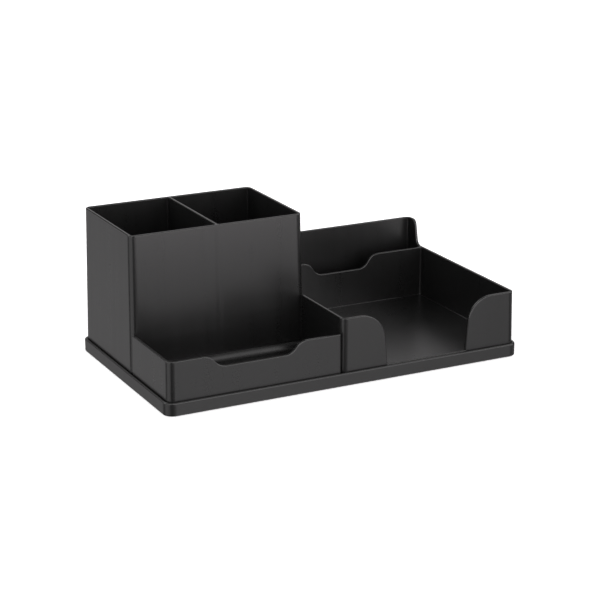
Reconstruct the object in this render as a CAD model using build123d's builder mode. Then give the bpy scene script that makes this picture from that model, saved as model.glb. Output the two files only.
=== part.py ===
"""Desk organizer: a plinth on rubber feet that carries a pen cup, a clip tray and a memo tray.

Millimetres. The origin is on the desk under the middle of the plinth, +X to the right, +Y to the back
and +Z up. The three compartments stand in a shallow recess of the plinth, located by pegs, and each
one lifts straight out.
"""
from build123d import *
import math
import os

# Plinth
base_width = 260.0
base_depth = 148.0
base_height = 9.0
foot_stand = 1.0
rim_flat = 0.35
rim_round = 1.0
rim_inner_round = 0.4
base_foot_round = 0.8
recess_depth = 2.0
deck_thickness = 3.2
skirt_thickness = 2.4
rib_thickness = 1.6
rib_lift = 1.0
rib_columns = 5
rib_rows = 3

# Compartments
wall = 2.0
floor_thickness = 2.5
draft = 0.8
corner_radius = 4.7
inner_radius = 1.4
floor_round = 0.4
edge_round = 0.6
cup_width = 126.0
cup_depth = 84.8
cup_height = 94.5
divider_thickness = 2.0
clip_height = 28.4
clip_end_round = 1.1
lip_rise = 0.2
lip_thickness = 1.4
lip_round = 4.0
cove_round = 9.5
memo_overlap = 3.5
memo_height = 38.5
rear_rise = 18.1
partition_setback = 21.1
ear_depth = 14.8
ear_lean = 3.2
ear_round = 4.5

# Finger scoops, and the two posts beside the open front of the memo tray
scoop_run = 16.0
clip_scoop_floor = 41.0
clip_scoop_depth = 8.0
memo_scoop_floor = 28.5
memo_scoop_depth = 9.7
left_post_width = 34.3
right_post_width = 38.8
post_lean = 5.0
post_shoulder_radius = 18.2

# Pegs and feet
peg_radius = 3.0
peg_length = 4.5
peg_chamfer = 0.6
peg_inset = 28.0
socket_wall = 1.6
foot_radius = 7.0
foot_thickness = 2.5
foot_inset = 14.0
foot_round = 0.5

# Fits
side_gap = 0.35
module_gap = 0.3
peg_clearance = 0.2
foot_clearance = 0.15

# Levels, from the desk up
deck_top = foot_stand + base_height - recess_depth
deck_under = deck_top - deck_thickness
socket_end = deck_top - peg_length
floor_top = deck_top + floor_thickness
clip_top = deck_top + clip_height
lip_top = floor_top + lip_round + lip_rise
memo_top = deck_top + memo_height
rear_height = memo_height + rear_rise
rear_top = deck_top + rear_height
headroom = cup_height + rear_height

# Outer faces of the plinth, and of the compartments where they stand on its deck
half_width = base_width / 2
half_depth = base_depth / 2
rim_width = rim_flat + rim_round + rim_inner_round
inset = rim_width + side_gap
left_face = -half_width + inset
right_face = half_width - inset
front_face = -half_depth + inset
back_face = half_depth - inset
cup_right = left_face + cup_width
cup_front = back_face - cup_depth
memo_left = cup_right - memo_overlap
clip_right = memo_left - module_gap
clip_back = cup_front - module_gap
memo_behind_cup = cup_right + module_gap

# The rounding of a wall's top leaves a flat between its two edges, and so does the one at its free end
round_share = 0.4
end_share = 0.55
top_round = min(edge_round, round_share * min(wall, divider_thickness))
end_round = min(clip_end_round, end_share * wall)


def lean(height):
    """How far an outer wall has come in, this high above the deck."""
    return height * math.tan(math.radians(draft))


def grid(left, right, front, back):
    """Peg places near the four corners of a compartment."""
    return [
        (x, y)
        for x in (left + peg_inset, right - peg_inset)
        for y in (front + peg_inset, back - peg_inset)
    ]


def plan(left, right, front, back, radius, level):
    """A rounded rectangle on the level plane at this height."""
    with BuildSketch(Plane.XY.offset(level)) as outline:
        with Locations(((left + right) / 2, (front + back) / 2)):
            RectangleRounded(right - left, back - front, radius)
    return outline.sketch


def region(left, right, front, back, level):
    """A plain rectangle on the level plane at this height."""
    with BuildSketch(Plane.XY.offset(level)) as outline:
        with Locations(((left + right) / 2, (front + back) / 2)):
            Rectangle(right - left, back - front)
    return outline.sketch


def is_upright(edge):
    """Whether an edge runs up the object rather than along or across it."""
    steep = 0.9
    return abs((edge % 0.5).Z) > steep


def block(left, right, front, back, height):
    """A block on the deck whose sides lean in towards the top, with its upright edges rounded."""
    with BuildPart() as solid:
        extrude(region(left, right, front, back, deck_top), amount=height, taper=draft)
        fillet(solid.edges().filter_by(is_upright), corner_radius)
    return solid.part


def discs(places, radius, level):
    """Circles at these places on the level plane at this height."""
    with BuildSketch(Plane.XY.offset(level)) as circles:
        with Locations(*places):
            Circle(radius)
    return circles.sketch


def space(left, right, front, back, radius, rounding):
    """The empty room of a compartment, from its floor up past every wall, with a rounded foot."""
    with BuildPart() as room:
        extrude(plan(left, right, front, back, radius, floor_top), amount=headroom)
        fillet(room.edges().group_by(Axis.Z)[0], rounding)
    return room.part


def facing_front(centre, along, level):
    """An upright plane that faces the front, with its origin at this point."""
    return Plane((centre, along, level), x_dir=(1, 0, 0), z_dir=(0, -1, 0))


def scoop(upright, floor, depth):
    """A trough in the top of a wall: each side is two equal arcs that meet in an S."""
    foot = Vector(-floor / 2, -depth)
    shoulder = foot + Vector(-scoop_run, depth)
    middle = (shoulder + foot) / 2
    above = Vector(0, depth)
    with BuildSketch(upright) as trough:
        with BuildLine():
            fall = TangentArc(shoulder, middle, tangent=(1, 0))
            TangentArc(middle, foot, tangent=fall % 1)
            Line(foot, (0, -depth))
            Polyline(shoulder, shoulder + above, above)
            mirror(about=Plane.YZ)
        make_face()
    return trough.sketch


def top_edges(builder, level):
    """The edges above this level that run along or across the walls, without the upright ones."""
    high = builder.edges().filter_by(lambda edge: edge.center().Z > level)
    return high.filter_by(lambda edge: not is_upright(edge))


cup_pegs = grid(left_face, cup_right, cup_front, back_face)
memo_pegs = grid(memo_left, right_face, front_face, back_face)
clip_middle = (front_face + clip_back) / 2
clip_pegs = [(left_face + peg_inset, clip_middle), (clip_right - peg_inset, clip_middle)]
sockets = cup_pegs + memo_pegs + clip_pegs
foot_x = half_width - foot_inset
foot_y = half_depth - foot_inset
feet = {
    "foot_front_left": (-foot_x, -foot_y),
    "foot_front_right": (foot_x, -foot_y),
    "foot_rear_left": (-foot_x, foot_y),
    "foot_rear_right": (foot_x, foot_y),
}

os.makedirs("parts", exist_ok=True)

# Plinth: a shallow recess on top, a ribbed hollow below
base_radius = corner_radius + inset
recess_x = half_width - rim_width
recess_y = half_depth - rim_width
hollow_x = half_width - skirt_thickness
hollow_y = half_depth - skirt_thickness
footprint = plan(-half_width, half_width, -half_depth, half_depth, base_radius, foot_stand)
recess = plan(-recess_x, recess_x, -recess_y, recess_y, base_radius - rim_width, deck_top)
hollow = plan(-hollow_x, hollow_x, -hollow_y, hollow_y, base_radius - skirt_thickness, foot_stand)
hollow_height = deck_under - foot_stand
socket_radius = peg_radius + peg_clearance
pocket_radius = foot_radius + foot_clearance
with BuildPart() as base_tray:
    extrude(footprint, amount=base_height)
    fillet(base_tray.edges().group_by(Axis.Z)[-1], rim_round)
    fillet(base_tray.edges().group_by(Axis.Z)[0], base_foot_round)
    extrude(recess, amount=recess_depth, mode=Mode.SUBTRACT)
    fillet(base_tray.faces().sort_by(Axis.Z)[-1].inner_wires()[0].edges(), rim_inner_round)
    extrude(hollow, amount=hollow_height, mode=Mode.SUBTRACT)
    with BuildSketch(Plane.XY.offset(deck_under)) as ribs:
        with GridLocations(base_width / (rib_columns + 1), 0, rib_columns, 1):
            Rectangle(rib_thickness, 2 * hollow_y)
        with GridLocations(0, base_depth / (rib_rows + 1), 1, rib_rows):
            Rectangle(2 * hollow_x, rib_thickness)
    extrude(amount=rib_lift - hollow_height)
    extrude(discs(sockets, socket_radius + socket_wall, deck_under), amount=socket_end - deck_under)
    extrude(discs(feet.values(), pocket_radius + socket_wall, foot_stand), amount=hollow_height)
    extrude(discs(sockets, socket_radius, deck_top), amount=foot_stand - deck_top, mode=Mode.SUBTRACT)
    foot_sink = foot_thickness - foot_stand
    extrude(discs(feet.values(), pocket_radius, foot_stand), amount=foot_sink, mode=Mode.SUBTRACT)
base_tray.part.label = "base_tray"
export_step(base_tray.part, "parts/base_tray.step")

# Rubber feet, glued into round pockets
for name, (x, y) in feet.items():
    with BuildPart() as foot:
        extrude(discs([(x, y)], foot_radius, 0), amount=foot_thickness)
        fillet(foot.edges().group_by(Axis.Z)[0], foot_round)
    foot.part.label = name
    export_step(foot.part, f"parts/{name}.step")

# Pen cup: two cells with a divider between them
cup_wall = wall + lean(cup_height)
cup_middle = (left_face + cup_right) / 2
divider_left = cup_middle - divider_thickness / 2
divider_right = cup_middle + divider_thickness / 2
cell_left = left_face + cup_wall
cell_right = cup_right - cup_wall
cell_front = cup_front + cup_wall
cell_back = back_face - cup_wall
left_cell = space(cell_left, divider_left, cell_front, cell_back, inner_radius, floor_round)
right_cell = space(divider_right, cell_right, cell_front, cell_back, inner_radius, floor_round)
with BuildPart() as pen_cup:
    add(block(left_face, cup_right, cup_front, back_face, cup_height))
    add([left_cell, right_cell], mode=Mode.SUBTRACT)
    fillet(pen_cup.edges().group_by(Axis.Z)[-1], top_round)
    extrude(discs(cup_pegs, peg_radius, deck_top), amount=-peg_length)
    chamfer(pen_cup.edges().group_by(Axis.Z)[0], peg_chamfer)
pen_cup.part.label = "pen_cup"
export_step(pen_cup.part, "parts/pen_cup.step")

# Clip tray: two full walls, and low lips where the cup and the memo tray close it
clip_wall = wall + lean(clip_height)
well_left = left_face + clip_wall
well_front = front_face + clip_wall
well_right = clip_right - lip_thickness
well_back = clip_back - lip_thickness
well = space(well_left, well_right, well_front, well_back, lip_round + edge_round, lip_round)
left_front = region(left_face, clip_right, front_face, clip_back, deck_top)
above_lips = plan(well_left, right_face, well_front, back_face, lip_round + edge_round, lip_top)
cove_rise = lip_top - floor_top
cove_run = math.sqrt(cove_rise * (2 * cove_round - cove_rise))
cove_front = well_back - cove_run
scoop_plane = facing_front((left_face + clip_right) / 2, well_front, clip_top)
with BuildPart() as clip_tray:
    add(block(left_face, right_face, front_face, back_face, clip_height))
    extrude(left_front, amount=clip_height, mode=Mode.INTERSECT)
    clip_end = (clip_right, front_face, deck_top)
    fillet(clip_tray.edges().filter_by(is_upright).sort_by_distance(clip_end)[0], end_round)
    add(well, mode=Mode.SUBTRACT)
    extrude(above_lips, amount=headroom, mode=Mode.SUBTRACT)
    with BuildSketch(Plane.YZ.offset(well_left - wall / 2)) as back_cove:
        with BuildLine():
            cove = TangentArc((cove_front, floor_top), (well_back, lip_top), tangent=(1, 0))
            Polyline(cove @ 1, (clip_back, lip_top), (clip_back, deck_top), (cove_front, deck_top), cove @ 0)
        make_face()
    extrude(amount=clip_right - well_left + wall / 2)
    extrude(scoop(scoop_plane, clip_scoop_floor, clip_scoop_depth), amount=clip_wall, mode=Mode.SUBTRACT)
    fillet(top_edges(clip_tray, lip_top + edge_round), top_round)
    extrude(discs(clip_pegs, peg_radius, deck_top), amount=-peg_length)
    chamfer(clip_tray.edges().group_by(Axis.Z)[0], peg_chamfer)
clip_tray.part.label = "clip_tray"
export_step(clip_tray.part, "parts/clip_tray.step")

# Memo tray: paper space with an open front, a scooped partition and a letter slot behind it.
# Behind the front of the cup it has no left wall of its own: the side of the cup closes it.
memo_wall = wall + lean(memo_height)
paper_left = memo_left + memo_wall
paper_right = right_face - memo_wall
paper_front = front_face + memo_wall
partition_back = back_face - partition_setback + wall / 2
partition_front = partition_back - wall
slot_back = back_face - wall - lean(rear_height)
paper_space = space(paper_left, paper_right, paper_front, partition_front, inner_radius, floor_round)
cup_side_space = space(left_face, paper_right, clip_back, partition_front, inner_radius, floor_round)
letter_slot = space(left_face, paper_right, partition_back, slot_back, inner_radius, floor_round)
beside_cup = region(left_face, memo_behind_cup, clip_back, half_depth, deck_top)
ear_foot = back_face - ear_depth
ear_top = ear_foot + ear_lean
opening_left = memo_left + left_post_width
opening_right = right_face - right_post_width
opening_centre = (opening_left + opening_right) / 2
sill = (opening_right - opening_left) / 2
rise = memo_top - floor_top
shoulder = sill + rise * math.tan(math.radians(post_lean))
reach = shoulder + 2 * post_shoulder_radius
scoop_plane = facing_front(opening_centre, partition_back, memo_top)
opening_plane = facing_front(opening_centre, paper_front + floor_round, floor_top)
with BuildPart() as memo_tray:
    add(block(memo_left, right_face, front_face, back_face, rear_height))
    extrude(beside_cup, amount=headroom, mode=Mode.SUBTRACT)
    with BuildSketch(Plane.YZ.offset(left_face)) as above_walls:
        with BuildLine():
            Polyline(
                (-half_depth, memo_top),
                (ear_foot, memo_top),
                (ear_top, rear_top),
                (half_depth, rear_top),
                (half_depth, headroom),
                (-half_depth, headroom),
                close=True,
            )
        make_face()
        fillet(above_walls.vertices().filter_by_position(Axis.X, ear_foot, ear_top), ear_round)
    extrude(amount=base_width, mode=Mode.SUBTRACT)
    add([paper_space, cup_side_space, letter_slot], mode=Mode.SUBTRACT)
    extrude(scoop(scoop_plane, memo_scoop_floor, memo_scoop_depth), amount=wall, mode=Mode.SUBTRACT)
    with BuildSketch(opening_plane) as opening:
        with BuildLine():
            Polyline((0, 0), (sill, 0), (shoulder, rise), (reach, rise), (reach, headroom), (0, headroom))
            mirror(about=Plane.YZ)
        make_face()
        fillet(opening.vertices().group_by(Axis.Y)[1].sort_by(Axis.X)[1:3], post_shoulder_radius)
    extrude(amount=memo_wall + floor_round, mode=Mode.SUBTRACT)
    fillet(top_edges(memo_tray, floor_top + 2 * edge_round), top_round)
    floor_edges = memo_tray.edges().filter_by_position(Axis.Z, floor_top - edge_round, floor_top)
    fillet(floor_edges.filter_by(Axis.X).sort_by(Axis.Y)[0], edge_round)
    extrude(discs(memo_pegs, peg_radius, deck_top), amount=-peg_length)
    chamfer(memo_tray.edges().group_by(Axis.Z)[0], peg_chamfer)
memo_tray.part.label = "memo_tray"
export_step(memo_tray.part, "parts/memo_tray.step")
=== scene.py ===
"""Looks of the desk organizer: black moulded compartments on a grained plinth, in a white studio.

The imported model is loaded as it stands, in metres and in its own frame. Every piece keeps the shape
that the model gives it, and this script gives each one its finish, then adds floor, light and camera.
"""
import logging
import math
from dataclasses import dataclass, field
from enum import Enum
from typing import Any

import bpy
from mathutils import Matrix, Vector


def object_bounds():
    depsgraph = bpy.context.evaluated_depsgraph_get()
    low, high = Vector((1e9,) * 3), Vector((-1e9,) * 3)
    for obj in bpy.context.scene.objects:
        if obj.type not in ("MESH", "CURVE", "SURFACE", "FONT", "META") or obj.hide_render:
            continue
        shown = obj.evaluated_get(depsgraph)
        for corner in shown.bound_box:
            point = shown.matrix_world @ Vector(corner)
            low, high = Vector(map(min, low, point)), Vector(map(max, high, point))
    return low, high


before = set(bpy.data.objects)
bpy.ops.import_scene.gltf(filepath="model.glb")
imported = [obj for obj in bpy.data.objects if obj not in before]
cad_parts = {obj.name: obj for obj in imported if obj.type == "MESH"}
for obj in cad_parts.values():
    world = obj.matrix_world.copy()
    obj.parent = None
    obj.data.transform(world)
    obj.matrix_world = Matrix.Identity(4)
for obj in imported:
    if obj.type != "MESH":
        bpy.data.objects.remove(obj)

MM = 0.001
WHITE = "#ffffff"
CAD_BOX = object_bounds()

log = logging.getLogger("desk_organizer")


def linear(hex_colour: str) -> tuple[float, float, float, float]:
    """Turn an sRGB hex colour into the linear colour that a shader takes.

    The sRGB curve is straight up to its knee, close to black, and a power of the value above it.

    Args:
        hex_colour: Six hex digits after a hash sign.

    Returns:
        Linear red, green and blue, and an alpha of 1.
    """
    knee, slope, offset, power = 0.04045, 12.92, 0.055, 2.4
    channels = [int(hex_colour[start:start + 2], 16) / 255 for start in (1, 3, 5)]
    red, green, blue = (
        value / slope if value <= knee else ((value + offset) / (1 + offset)) ** power for value in channels
    )
    return red, green, blue, 1.0


def middle_along_x(node: str) -> float:
    """Find the middle of a piece along X.

    Args:
        node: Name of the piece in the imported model.

    Returns:
        Place of its middle, in millimetres.
    """
    across = [corner[0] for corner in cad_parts[node].bound_box]
    return (min(across) + max(across)) / 2 / MM


def add_node(
    tree: bpy.types.NodeTree, kind: str, inputs: dict[str | int, Any] | None = None, **settings: Any
) -> bpy.types.Node:
    """Add one shader node with its settings, values and links.

    Args:
        tree: Node tree that gets the node.
        kind: Blender's name for the kind of node.
        inputs: For each input, by name or number, a value to set or an output to link.
        settings: Properties of the node itself.

    Returns:
        The new node.
    """
    node = tree.nodes.new(kind)
    for name, value in settings.items():
        setattr(node, name, value)
    for key, value in (inputs or {}).items():
        if isinstance(value, bpy.types.NodeSocket):
            tree.links.new(value, node.inputs[key])
        else:
            node.inputs[key].default_value = value
    return node


def empty_material(name: str) -> tuple[bpy.types.Material, bpy.types.NodeTree]:
    """Make a material with no nodes.

    Args:
        name: Name of the material.

    Returns:
        The material and its node tree.
    """
    material = bpy.data.materials.new(name)
    material.use_nodes = True
    material.node_tree.nodes.clear()
    return material, material.node_tree


@dataclass(frozen=True)
class Pattern:
    """Soft random pattern between 0 and 1, stretched so that its cells have a real size.

    Attributes:
        cell_mm: Width of a cell along X, Y and Z.
        detail: How many finer layers it holds.
        swing: How far a roughness moves as the pattern goes from 0 to 1.
        middle: Value of the pattern that leaves the roughness as it is.
    """

    cell_mm: tuple[float, float, float]
    detail: float = 2.0
    swing: float = 0.0
    middle: float = 0.5

    def value(self, tree: bpy.types.NodeTree, place: bpy.types.NodeSocket) -> bpy.types.NodeSocket:
        """Add the pattern to a node tree.

        Args:
            tree: Node tree that gets the pattern.
            place: Position in metres.

        Returns:
            The pattern's value.
        """
        cells = tuple(1 / (size * MM) for size in self.cell_mm)
        stretched = add_node(tree, "ShaderNodeVectorMath", {0: place, 1: cells}, operation="MULTIPLY")
        inputs = {"Vector": stretched.outputs["Vector"], "Scale": 1.0, "Detail": self.detail}
        return add_node(tree, "ShaderNodeTexNoise", inputs).outputs["Fac"]

    def vary(
        self, tree: bpy.types.NodeTree, value: bpy.types.NodeSocket, roughness: float | bpy.types.NodeSocket
    ) -> bpy.types.NodeSocket:
        """Let the pattern move a roughness up and down.

        Args:
            tree: Node tree that holds the pattern.
            value: The pattern's value.
            roughness: Roughness without the pattern.

        Returns:
            Roughness with the pattern.
        """
        centred = add_node(tree, "ShaderNodeMath", {0: value, 1: self.middle}, operation="SUBTRACT")
        inputs = {0: centred.outputs["Value"], 1: self.swing, 2: roughness}
        return add_node(tree, "ShaderNodeMath", inputs, operation="MULTIPLY_ADD").outputs["Value"]


@dataclass(frozen=True)
class MouldTexture:
    """Texture of a mould's steel, which the plastic copies.

    Attributes:
        grain: The steel's grain.
        depth_mm: Depth of that grain.
        roughness: Roughness of the moulded face.
    """

    grain: Pattern
    depth_mm: float
    roughness: float


class MouldFinish(Enum):
    """Ways in which the mould's steel was finished.

    STONED: Rubbed with a fine stone. Its grain of a few hundredths of a millimetre is too fine to show,
        so it is drawn eight times as coarse.
    SPARK_ERODED: Eroded by sparks into a matte grain of about a tenth of a millimetre, drawn five times
        as coarse for the same reason.
    """

    STONED = MouldTexture(Pattern((0.4, 0.4, 0.4), swing=0.05), depth_mm=0.0012, roughness=0.29)
    SPARK_ERODED = MouldTexture(Pattern((0.6, 0.6, 0.6), swing=0.10), depth_mm=0.006, roughness=0.33)


@dataclass(frozen=True)
class SinkMark:
    """Upright line on a wall that shows where a divider meets it from inside.

    Attributes:
        middle_mm: Place of the divider along X.
        width_mm: Width of the mark.
        depth_mm: How far the wall sinks in at the mark.
    """

    middle_mm: float
    width_mm: float = 6.4
    depth_mm: float = 0.10

    def normal(
        self, tree: bpy.types.NodeTree, place: bpy.types.NodeSocket, wall: bpy.types.NodeSocket
    ) -> bpy.types.NodeSocket:
        """Add the mark to a wall's normal.

        Args:
            tree: Node tree of the wall's material.
            place: Position in metres.
            wall: Normal of the wall without the mark.

        Returns:
            Normal of the wall with the mark.
        """
        across = add_node(tree, "ShaderNodeSeparateXYZ", {0: place}).outputs["X"]
        inputs = {0: across, 1: self.middle_mm * MM}
        away = add_node(tree, "ShaderNodeMath", inputs, operation="SUBTRACT")
        distance = add_node(tree, "ShaderNodeMath", {0: away.outputs["Value"]}, operation="ABSOLUTE")
        inputs = {"Value": distance.outputs["Value"], "From Max": self.width_mm * MM / 2}
        level = add_node(tree, "ShaderNodeMapRange", inputs, interpolation_type="SMOOTHSTEP")
        inputs = {"Height": level.outputs["Result"], "Distance": self.depth_mm * MM, "Normal": wall}
        return add_node(tree, "ShaderNodeBump", inputs).outputs["Normal"]


@dataclass(frozen=True)
class EdgeWear:
    """Wear of the rounded upper edges, which hands and pens rub smoother than the faces.

    An edge is found by how far its normal points up, which is more than a wall's and less than a floor's.
    Each pair of values below gives where there is no wear yet and where the wear is full.

    Attributes:
        polish: How much the full wear lowers the roughness.
        wall: Upward part of the normal, from a wall to an edge.
        floor: Upward part of the normal, from a floor to an edge.
        patches: Value of a pattern that makes the wear uneven along an edge.
    """

    polish: float = 0.06
    wall: tuple[float, float] = (0.10, 0.40)
    floor: tuple[float, float] = (0.999, 0.95)
    patches: tuple[float, float] = (0.3, 0.6)

    def value(
        self, tree: bpy.types.NodeTree, normal: bpy.types.NodeSocket, uneven: bpy.types.NodeSocket
    ) -> bpy.types.NodeSocket:
        """Add the wear to a node tree.

        Args:
            tree: Node tree that gets the wear.
            normal: Normal of the surface.
            uneven: The pattern along the edges.

        Returns:
            What the wear takes off the roughness.
        """
        upward = add_node(tree, "ShaderNodeSeparateXYZ", {0: normal}).outputs["Z"]
        limits = (
            (upward, self.wall, "SMOOTHSTEP"),
            (upward, self.floor, "SMOOTHSTEP"),
            (uneven, self.patches, "LINEAR"),
        )
        wear: Any = self.polish
        for measure, (none, full), fade in limits:
            inputs = {"Value": measure, "From Min": none, "From Max": full}
            share = add_node(tree, "ShaderNodeMapRange", inputs, interpolation_type=fade)
            inputs = {0: wear, 1: share.outputs["Result"]}
            wear = add_node(tree, "ShaderNodeMath", inputs, operation="MULTIPLY").outputs["Value"]
        return wear


@dataclass(frozen=True)
class BlackAbs:
    """Black ABS, injection moulded.

    To the eye it is a neutral black that shows mostly by its soft sheen. Faint upright streaks, where the
    melt flowed along the wall, and broad clouds, where it cooled unevenly, vary that sheen, and the upper
    edges, rubbed smoother in use, catch the light more sharply.

    Attributes:
        name: Name of the material.
        finish: How the mould's steel was finished.
        colour: Colour of the plastic.
        flow_colour: Slightly paler colour in the flow streaks.
        ior: Index of refraction of ABS.
        streaks: Upright streaks of the flow.
        clouds: Broad unevenness of the cooling.
        wear: Wear of the upper edges.
        sink_mark: Mark of a divider, if the piece has one.
    """

    name: str
    finish: MouldFinish
    colour: str = "#101010"
    flow_colour: str = "#121212"
    ior: float = 1.54
    streaks: Pattern = Pattern((7.0, 7.0, 220.0), detail=1.0, swing=0.05)
    clouds: Pattern = Pattern((38.0, 38.0, 38.0), swing=0.04)
    wear: EdgeWear = EdgeWear()
    sink_mark: SinkMark | None = None

    def material(self) -> bpy.types.Material:
        """Make the material.

        Returns:
            The finished material.
        """
        material, tree = empty_material(self.name)
        coordinates = add_node(tree, "ShaderNodeTexCoord").outputs
        place = coordinates["Object"]
        texture = self.finish.value
        patterns = (texture.grain, self.streaks, self.clouds)
        values = [pattern.value(tree, place) for pattern in patterns]
        grain, streaks, clouds = values
        roughness: Any = texture.roughness
        for pattern, value in zip(patterns, values):
            roughness = pattern.vary(tree, value, roughness)
        worn = self.wear.value(tree, coordinates["Normal"], clouds)
        kept = add_node(tree, "ShaderNodeMath", {0: roughness, 1: worn}, operation="SUBTRACT")
        inputs = {"Height": grain, "Distance": texture.depth_mm * MM}
        normal = add_node(tree, "ShaderNodeBump", inputs).outputs["Normal"]
        if self.sink_mark is not None:
            normal = self.sink_mark.normal(tree, place, normal)
        inputs = {
            "Base Color": self.streaked(tree, streaks), "Roughness": kept.outputs["Value"],
            "IOR": self.ior, "Normal": normal,
        }
        shader = add_node(tree, "ShaderNodeBsdfPrincipled", inputs)
        add_node(tree, "ShaderNodeOutputMaterial", {"Surface": shader.outputs["BSDF"]})
        return material

    def streaked(self, tree: bpy.types.NodeTree, streaks: bpy.types.NodeSocket) -> bpy.types.NodeSocket:
        """Mix the plastic's colour with the paler one of its flow streaks.

        Args:
            tree: Node tree of the material.
            streaks: Value of the streaks' pattern.

        Returns:
            Colour of the surface.
        """
        colours = {"A": linear(self.colour), "B": linear(self.flow_colour)}
        mix = add_node(tree, "ShaderNodeMix", {"Factor": streaks}, data_type="RGBA")
        # The node has sockets A and B for numbers and vectors too, so the ones for colours are picked out
        for socket in mix.inputs:
            if socket.type == "RGBA":
                socket.default_value = colours[socket.name]
        return next(socket for socket in mix.outputs if socket.type == "RGBA")


@dataclass(frozen=True)
class BlackRubber:
    """Black thermoplastic rubber, moulded as a flat pad, which to the eye is a dull soft black.

    Attributes:
        name: Name of the material.
        colour: Colour of the rubber.
        dust_colour: Greyer colour of the dust that it holds.
        ior: Index of refraction of rubber.
        roughness: Roughness of the pad.
        grain: Grain of the pad, drawn twice as coarse as it is so that it shows.
        depth_mm: Depth of that grain.
    """

    name: str = "black rubber, moulded"
    colour: str = "#121212"
    dust_colour: str = "#242321"
    ior: float = 1.52
    roughness: float = 0.8
    grain: Pattern = Pattern((0.5, 0.5, 0.5))
    depth_mm: float = 0.02

    def material(self) -> bpy.types.Material:
        """Make the material.

        Returns:
            The finished material.
        """
        material, tree = empty_material(self.name)
        place = add_node(tree, "ShaderNodeTexCoord").outputs["Object"]
        grain = self.grain.value(tree, place)
        colour = add_node(tree, "ShaderNodeValToRGB", {"Fac": grain})
        for stop, shade in zip(colour.color_ramp.elements, (self.colour, self.dust_colour)):
            stop.color = linear(shade)
        normal = add_node(tree, "ShaderNodeBump", {"Height": grain, "Distance": self.depth_mm * MM})
        inputs = {
            "Base Color": colour.outputs["Color"], "Roughness": self.roughness,
            "IOR": self.ior, "Normal": normal.outputs["Normal"],
        }
        shader = add_node(tree, "ShaderNodeBsdfPrincipled", inputs)
        add_node(tree, "ShaderNodeOutputMaterial", {"Surface": shader.outputs["BSDF"]})
        return material


@dataclass(frozen=True)
class WhiteCard:
    """White card, smooth and matte, lit from all round so that to the eye it is an even white.

    Attributes:
        name: Name of the material.
        colour: Colour of the card.
        roughness: Roughness of the card.
        glow: Light that the card adds to what falls on it, which keeps the object's shadow faint.
    """

    name: str = "white card, matte"
    colour: str = "#f2f2f2"
    roughness: float = 0.9
    glow: float = 0.75

    def material(self) -> bpy.types.Material:
        """Make the material.

        Returns:
            The finished material.
        """
        material, tree = empty_material(self.name)
        inputs = {
            "Base Color": linear(self.colour), "Roughness": self.roughness,
            "Emission Color": linear(self.colour), "Emission Strength": self.glow,
        }
        shader = add_node(tree, "ShaderNodeBsdfPrincipled", inputs)
        add_node(tree, "ShaderNodeOutputMaterial", {"Surface": shader.outputs["BSDF"]})
        return material


@dataclass
class SubAssembly:
    """Pieces of the organizer that share a finish.

    Attributes:
        nodes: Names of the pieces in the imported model.
        finish: What they are made of.
    """

    nodes: tuple[str, ...]
    finish: BlackAbs | BlackRubber

    def dress(self) -> None:
        """Give every piece its material and report it."""
        material = self.finish.material()
        for node in self.nodes:
            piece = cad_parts[node]
            for slot in piece.material_slots:
                slot.material = material
            log.info("%s: %s", node, material.name)


@dataclass
class Feet(SubAssembly):
    """Four pads under the plinth's corners."""

    nodes: tuple[str, ...] = ("foot_front_left", "foot_front_right", "foot_rear_left", "foot_rear_right")
    finish: BlackRubber = BlackRubber()


@dataclass
class Plinth(SubAssembly):
    """Low plinth that carries the three compartments."""

    nodes: tuple[str, ...] = ("base_tray",)
    finish: BlackAbs = BlackAbs("black ABS, moulded on spark-eroded steel", MouldFinish.SPARK_ERODED)


@dataclass
class PenCup(SubAssembly):
    """Tall cup with two cells, whose divider stands in its middle."""

    nodes: tuple[str, ...] = ("pen_cup",)
    finish: BlackAbs = BlackAbs(
        "black ABS, moulded on stoned steel, with a sink mark", MouldFinish.STONED,
        sink_mark=SinkMark(middle_along_x("pen_cup")),
    )


@dataclass
class Trays(SubAssembly):
    """Clip tray in front of the cup and memo tray beside it."""

    nodes: tuple[str, ...] = ("clip_tray", "memo_tray")
    finish: BlackAbs = BlackAbs("black ABS, moulded on stoned steel", MouldFinish.STONED)


@dataclass
class DeskOrganizer:
    """The whole object.

    Attributes:
        parts: Its sub-assemblies, from the feet up.
    """

    parts: list[SubAssembly] = field(default_factory=lambda: [Feet(), Plinth(), PenCup(), Trays()])

    def dress(self) -> None:
        """Dress every sub-assembly."""
        for part in self.parts:
            part.dress()


@dataclass(frozen=True)
class Softbox:
    """Large soft lamp, far enough away to be a patch of the surroundings.

    Attributes:
        azimuth: Where it stands round the object, in degrees: 0 in front, 90 at the right.
        elevation: Height above the horizon, in degrees. Below it, the lamp shines off the table.
        rim: Half width out to where it has faded away, in degrees.
        strength: Brightness of its middle.
        core: Half width of its even middle, in degrees.
    """

    azimuth: float
    elevation: float
    rim: float
    strength: float
    core: float = 4.0

    def direction(self) -> Vector:
        """Give the unit vector from the object to the lamp."""
        turn, lift = math.radians(self.azimuth), math.radians(self.elevation)
        return Vector((math.sin(turn) * math.cos(lift), -math.cos(turn) * math.cos(lift), math.sin(lift)))


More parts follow.
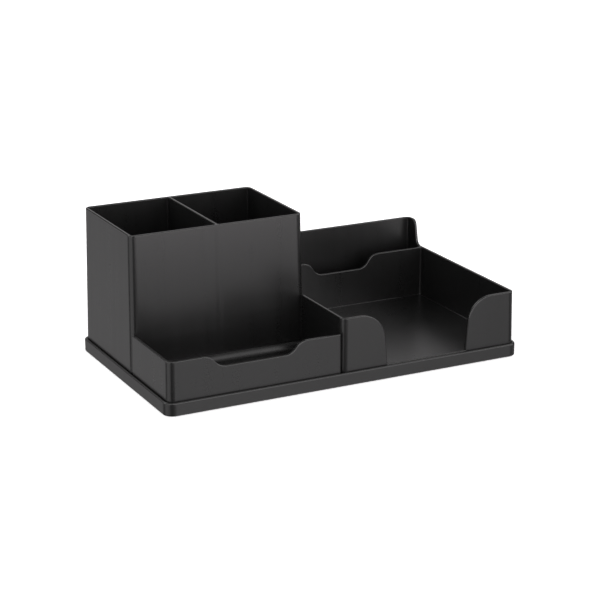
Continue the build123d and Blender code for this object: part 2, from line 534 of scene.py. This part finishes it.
@dataclass(frozen=True)
class BounceCard:
    """White card that lies on the table in front of the object and throws light up at it.

    Attributes:
        middle: Place of its middle on the floor, in metres.
        width: Length along X, in metres.
        depth: Length along Y, in metres.
        lift: Height above the floor, in metres.
        brightness: Brightness of the card.
        colour: Colour of its light.
    """

    middle: tuple[float, float] = (0.10, -0.775)
    width: float = 0.9
    depth: float = 0.45
    lift: float = 0.0005
    brightness: float = 5.4
    colour: str = "#fff8fb"

    def build(self) -> None:
        """Lay the card as a lamp that faces up and that the camera doesn't see."""
        lamp = bpy.data.lights.new("bounce_card", "AREA")
        lamp.shape = "RECTANGLE"
        lamp.size = self.width
        lamp.size_y = self.depth
        # A flat lamp's power is pi times its brightness times its area
        lamp.energy = self.brightness * math.pi * self.width * self.depth
        lamp.color = linear(self.colour)[:3]
        card = bpy.data.objects.new("bounce_card", lamp)
        card.location = (*self.middle, CAD_BOX[0].z + self.lift)
        card.rotation_euler = (math.pi, 0.0, 0.0)
        card.visible_camera = False
        bpy.context.scene.collection.objects.link(card)
        log.info("bounce card: %.2f by %.2f m", self.width, self.depth)


@dataclass
class Studio:
    """White floor and soft lamps round the object.

    Attributes:
        softboxes: The lamps, from overhead down to those that shine off the table.
        card: Card that lights the front from the table.
        light_colour: Colour of the lamps' light.
        backdrop: Brightness of what the camera sees past the floor.
        floor_size: Length of the floor's sides, in metres.
        floor_finish: What the floor is made of.
    """

    softboxes: tuple[Softbox, ...] = (
        Softbox(azimuth=0.0, elevation=75.0, rim=28.0, strength=0.5),
        Softbox(azimuth=70.0, elevation=60.0, rim=24.0, strength=1.0),
        Softbox(azimuth=-30.0, elevation=45.0, rim=28.0, strength=1.6),
        Softbox(azimuth=90.0, elevation=45.0, rim=28.0, strength=1.0),
        Softbox(azimuth=153.0, elevation=45.0, rim=28.0, strength=0.3),
        Softbox(azimuth=-153.0, elevation=45.0, rim=28.0, strength=1.8),
        Softbox(azimuth=27.0, elevation=28.0, rim=20.0, strength=0.6),
        Softbox(azimuth=0.0, elevation=15.0, rim=26.0, strength=3.7),
        Softbox(azimuth=30.0, elevation=15.0, rim=26.0, strength=2.0),
        Softbox(azimuth=60.0, elevation=15.0, rim=26.0, strength=2.4),
        Softbox(azimuth=153.0, elevation=15.0, rim=26.0, strength=0.6),
        Softbox(azimuth=-60.0, elevation=15.0, rim=26.0, strength=3.3),
        Softbox(azimuth=-110.0, elevation=15.0, rim=26.0, strength=2.7),
        Softbox(azimuth=25.0, elevation=-15.0, rim=14.0, strength=0.8),
        Softbox(azimuth=-60.0, elevation=-15.0, rim=14.0, strength=1.0),
        Softbox(azimuth=90.0, elevation=-15.0, rim=28.0, strength=0.4),
        Softbox(azimuth=-90.0, elevation=-15.0, rim=28.0, strength=1.0),
        Softbox(azimuth=-153.0, elevation=-15.0, rim=28.0, strength=0.5),
        Softbox(azimuth=27.0, elevation=-45.0, rim=28.0, strength=2.0),
    )
    card: BounceCard = BounceCard()
    light_colour: str = "#fffdfe"
    backdrop: float = 1.0
    floor_size: float = 30.0
    floor_finish: WhiteCard = WhiteCard()

    def build(self) -> None:
        """Lay the floor and light the room."""
        self.lay_floor()
        self.light_room()
        self.card.build()

    def lay_floor(self) -> None:
        """Lay a floor that the object stands on and that its gloss doesn't mirror."""
        half = self.floor_size / 2
        level = CAD_BOX[0].z
        mesh = bpy.data.meshes.new("floor")
        corners = [(-half, -half, level), (half, -half, level), (half, half, level), (-half, half, level)]
        mesh.from_pydata(corners, [], [(0, 1, 2, 3)])
        mesh.materials.append(self.floor_finish.material())
        floor = bpy.data.objects.new("floor", mesh)
        bpy.context.scene.collection.objects.link(floor)
        floor.visible_glossy = False
        floor.visible_shadow = False
        log.info("floor: %s", self.floor_finish.name)

    def light_room(self) -> None:
        """Light the room with the lamps, and show the camera a plain white backdrop."""
        world = bpy.data.worlds.new("studio")
        bpy.context.scene.world = world
        world.use_nodes = True
        tree = world.node_tree
        tree.nodes.clear()
        direction = add_node(tree, "ShaderNodeTexCoord").outputs["Generated"]
        total: Any = 0.0
        for lamp in self.softboxes:
            inputs = {0: direction, 1: lamp.direction()}
            facing = add_node(tree, "ShaderNodeVectorMath", inputs, operation="DOT_PRODUCT")
            inputs = {
                "Value": facing.outputs["Value"], "From Min": math.cos(math.radians(lamp.rim)),
                "From Max": math.cos(math.radians(lamp.core)), "To Max": lamp.strength,
            }
            patch = add_node(tree, "ShaderNodeMapRange", inputs, interpolation_type="SMOOTHSTEP")
            inputs = {0: patch.outputs["Result"], 1: total}
            total = add_node(tree, "ShaderNodeMath", inputs, operation="ADD").outputs["Value"]
        inputs = {"Color": linear(self.light_colour), "Strength": total}
        room = add_node(tree, "ShaderNodeBackground", inputs)
        inputs = {"Color": linear(WHITE), "Strength": self.backdrop}
        backdrop = add_node(tree, "ShaderNodeBackground", inputs)
        seen = add_node(tree, "ShaderNodeLightPath").outputs["Is Camera Ray"]
        inputs = {0: seen, 1: room.outputs["Background"], 2: backdrop.outputs["Background"]}
        mixed = add_node(tree, "ShaderNodeMixShader", inputs)
        add_node(tree, "ShaderNodeOutputWorld", {"Surface": mixed.outputs["Shader"]})
        log.info("room: %d softboxes", len(self.softboxes))


@dataclass(frozen=True)
class PhotoCamera:
    """Camera that stands where the photograph was taken.

    Attributes:
        eye: Place of the camera, in metres.
        azimuth: Direction that it looks along, in degrees from +Y towards +X.
        descent: How far it looks down, in degrees.
        lens: Focal length in millimetres.
        sensor: Width of the picture in the camera, in millimetres.
        view: How the picture turns light into colours. The plain one keeps the black as dark as it is.
    """

    eye: tuple[float, float, float] = (-0.556546, -1.094310, 0.432954)
    azimuth: float = 26.986
    descent: float = 17.816
    lens: float = 113.77
    sensor: float = 36.0
    view: str = "Standard"

    def build(self) -> None:
        """Make the camera and hand it to the scene."""
        scene = bpy.context.scene
        data = bpy.data.cameras.new("photo_camera")
        data.lens = self.lens
        data.sensor_width = self.sensor
        camera = bpy.data.objects.new("photo_camera", data)
        camera.location = self.eye
        camera.rotation_euler = (math.radians(90.0 - self.descent), 0.0, math.radians(-self.azimuth))
        scene.collection.objects.link(camera)
        scene.camera = camera
        scene.view_settings.view_transform = self.view
        log.info("camera: %.0f mm lens", self.lens)


def main() -> None:
    """Dress the organizer and set it in the studio."""
    logging.basicConfig(level=logging.INFO, format="%(message)s")
    DeskOrganizer().dress()
    Studio().build()
    PhotoCamera().build()


if __name__ == "__main__":
    main()
